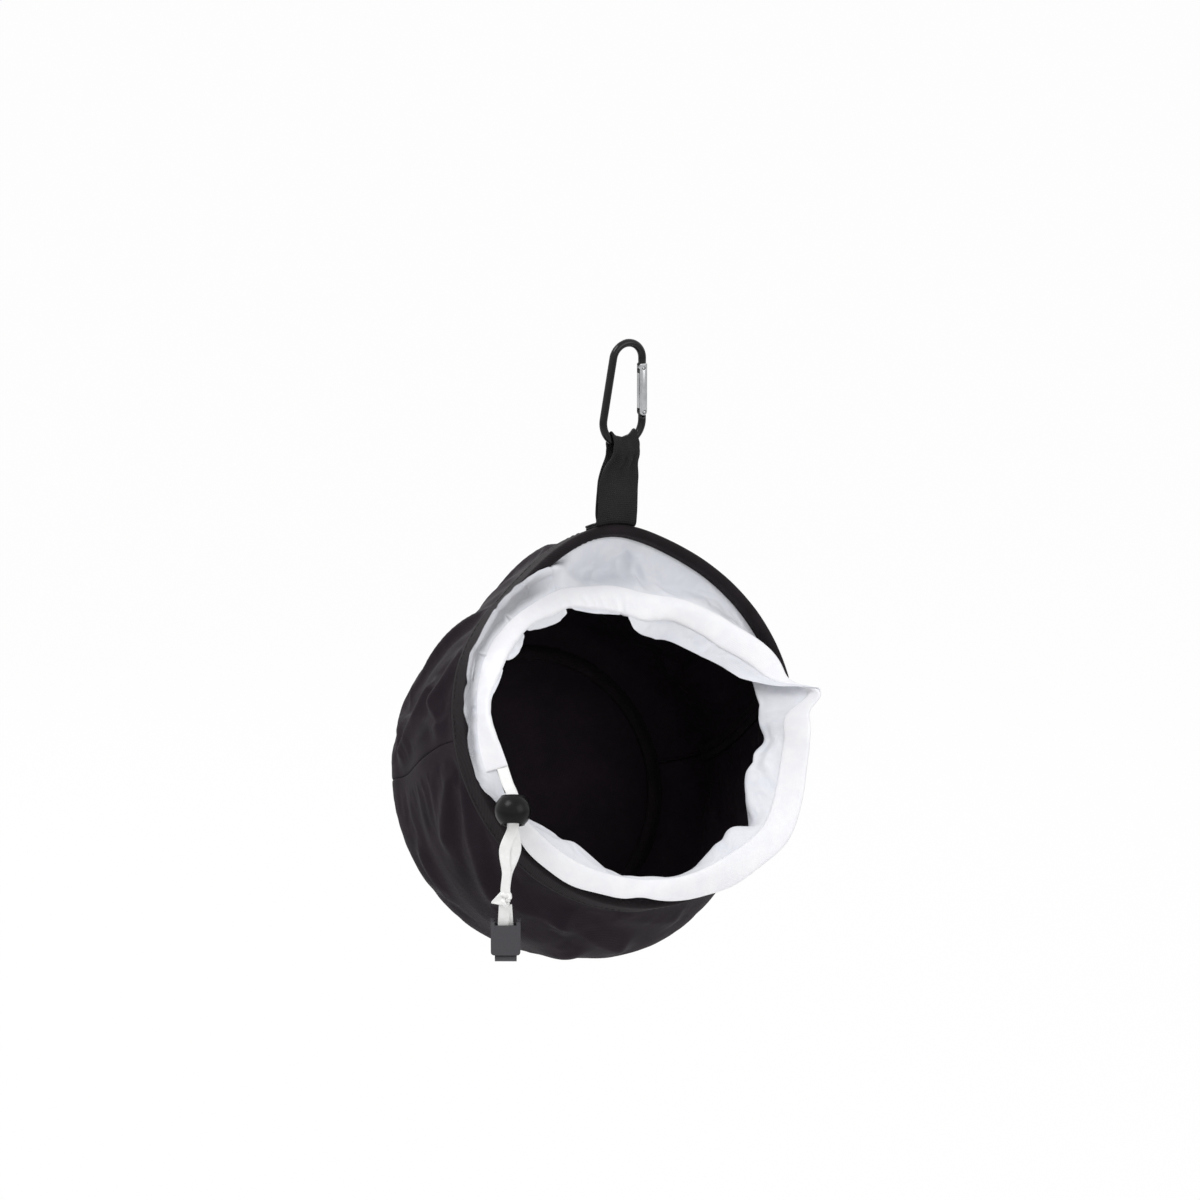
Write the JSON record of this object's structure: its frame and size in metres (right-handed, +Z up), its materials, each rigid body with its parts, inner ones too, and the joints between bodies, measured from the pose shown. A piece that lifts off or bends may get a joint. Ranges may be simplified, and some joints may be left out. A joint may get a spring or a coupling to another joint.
{
  "type": "peg bag",
  "caption": "Soft drum bag for clothes pegs, hung by a webbing loop from a sprung snap hook, with a hooped rim, a white drawstring collar, a ball cord stop and a fold-over cord end.",
  "frame": {"origin": "inside top of the hook, on the centre line of the rail it hangs from", "axes": "+Z up; the hook lies in the XZ plane with its gate toward +X; the bag opens toward -Y and a little up"},
  "size_m": [0.205, 0.1828, 0.3399],
  "materials": {
    "black_coated_steel": "gloss black coat on a bent steel rod",
    "bright_plated_steel": "bright nickel plate, lightly drawn along its length",
    "spring_steel": "plain spring wire",
    "black_webbing": "close woven webbing, slightly shiny",
    "black_twill_tape": "ribbed twill tape, matt",
    "black_bag_fabric": "plain woven fabric, matt, creased",
    "white_voile": "fine semi-sheer voile",
    "white_ribbon": "flat woven ribbon, slight sheen",
    "black_plastic": "satin moulded plastic",
    "grey_plastic": "satin moulded plastic, dark grey"
  },
  "bodies": {
    "hook": {"hook_body": "black_coated_steel", "gate_hinge_pin": "bright_plated_steel"},
    "gate": {"gate": "bright_plated_steel", "gate_latch_pin": "bright_plated_steel", "gate_plunger": "bright_plated_steel", "gate_spring": "spring_steel"},
    "bag": {"hanging_loop": "black_webbing", "rim_binding": "black_twill_tape", "rim_hoop": "black_plastic", "upper_wall_panel": "black_bag_fabric", "lower_wall_panel": "black_bag_fabric", "left_seam_tape": "black_twill_tape", "right_seam_tape": "black_twill_tape", "base_panel": "black_bag_fabric", "base_seam_binding": "black_twill_tape", "collar": "white_voile", "collar_hem": "white_voile", "drawstring": "white_ribbon", "drawstring_tail_left": "white_ribbon", "drawstring_tail_right": "white_ribbon", "drawstring_knot": "white_ribbon", "drawstring_end_left": "white_ribbon", "drawstring_end_right": "white_ribbon", "cord_end_back_leaf": "grey_plastic"},
    "ball_stop": {"cord_stop_ball": "black_plastic"},
    "cord_end_flap": {"cord_end_front_leaf": "grey_plastic"}
  },
  "joints": [
    {"name": "gate_hinge", "type": "hinge", "parent": "hook", "child": "gate", "pos_m": [0.0119, 0, -0.0358], "axis": [0, -1, 0], "range_deg": [0, 25], "stiffness_Nm_per_rad": 0.05, "springref_deg": -20.05},
    {"name": "bag_swing", "type": "hinge", "parent": "hook", "child": "bag", "pos_m": [0, 0, -0.0517], "axis": [1, 0, 0], "range_deg": [-30, 30]},
    {"name": "ball_slide", "type": "slide", "parent": "bag", "child": "ball_stop", "axis": [0, 0, -1], "range_m": [0, 0.026], "deforming": ["drawstring_tail_left", "drawstring_tail_right"]},
    {"name": "cord_end_fold", "type": "hinge", "parent": "bag", "child": "cord_end_flap", "pos_m": [-0.11307, -0.07114, -0.29692], "axis": [0.8572, -0.515, 0], "range_deg": [0, 150]}
  ]
}
